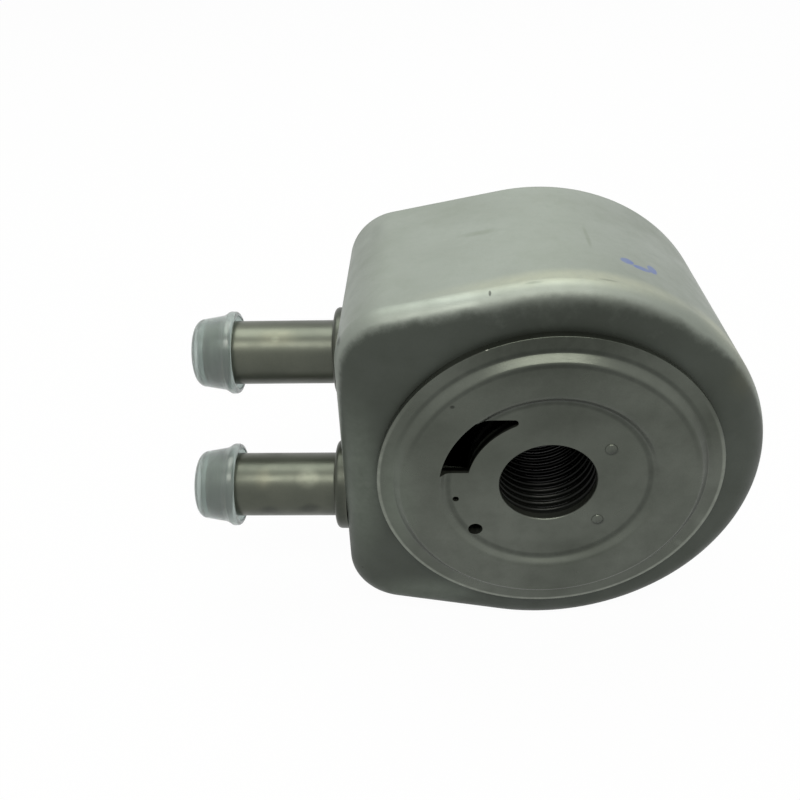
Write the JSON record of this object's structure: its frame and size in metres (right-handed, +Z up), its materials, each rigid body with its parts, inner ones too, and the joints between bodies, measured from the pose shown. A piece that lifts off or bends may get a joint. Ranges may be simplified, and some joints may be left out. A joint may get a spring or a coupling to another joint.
{
  "type": "engine oil cooler",
  "caption": "Round-backed sheet aluminium oil cooler tank with a seat plate, centre bore, stacked plate core and two capped hose nipples.",
  "frame": {"origin": "centre of the bore's mouth, in the outer plane of the seat plate on the engine side", "axes": "+Y along the bore from the engine side to the filter side, nipples along -X, +Z up as the picture shows it"},
  "size_m": [0.1342, 0.0585, 0.0974],
  "materials": {
    "tank_aluminium": "dull, as brazed",
    "plate_aluminium": "dull, as pressed and brazed",
    "nipple_aluminium": "turned, dull bright",
    "core_aluminium": "mill finish, brazed",
    "cap_polyethylene": "milky translucent, soft"
  },
  "bodies": {
    "cooler": {"tank_shell": "tank_aluminium", "back_plate": "tank_aluminium", "seat_plate": "plate_aluminium", "filter_plate": "plate_aluminium", "upper_nipple": "nipple_aluminium", "lower_nipple": "nipple_aluminium", "coolant_baffle": "core_aluminium", "front_core_plate_01": "core_aluminium", "front_core_plate_02": "core_aluminium", "front_core_plate_03": "core_aluminium", "front_core_plate_04": "core_aluminium", "front_core_plate_05": "core_aluminium", "front_core_plate_06": "core_aluminium", "front_core_plate_07": "core_aluminium", "front_core_plate_08": "core_aluminium", "front_core_plate_09": "core_aluminium", "front_core_plate_10": "core_aluminium", "front_core_plate_11": "core_aluminium", "rear_core_plate_01": "core_aluminium", "rear_core_plate_02": "core_aluminium", "rear_core_plate_03": "core_aluminium", "rear_core_plate_04": "core_aluminium", "rear_core_plate_05": "core_aluminium", "rear_core_plate_06": "core_aluminium", "rear_core_plate_07": "core_aluminium", "rear_core_plate_08": "core_aluminium", "rear_core_plate_09": "core_aluminium", "rear_core_plate_10": "core_aluminium", "rear_core_plate_11": "core_aluminium", "turbulator_01": "core_aluminium", "turbulator_02": "core_aluminium", "turbulator_03": "core_aluminium", "turbulator_04": "core_aluminium", "turbulator_05": "core_aluminium", "turbulator_06": "core_aluminium", "turbulator_07": "core_aluminium", "turbulator_08": "core_aluminium", "turbulator_09": "core_aluminium", "turbulator_10": "core_aluminium", "turbulator_11": "core_aluminium"},
    "upper_cap": {"upper_cap": "cap_polyethylene"},
    "lower_cap": {"lower_cap": "cap_polyethylene"}
  },
  "joints": [
    {"name": "upper_cap_slide", "type": "slide", "parent": "cooler", "child": "upper_cap", "axis": [-1, 0, 0], "range_m": [0, 0.0076]},
    {"name": "lower_cap_slide", "type": "slide", "parent": "cooler", "child": "lower_cap", "axis": [-1, 0, 0], "range_m": [0, 0.0076]}
  ]
}
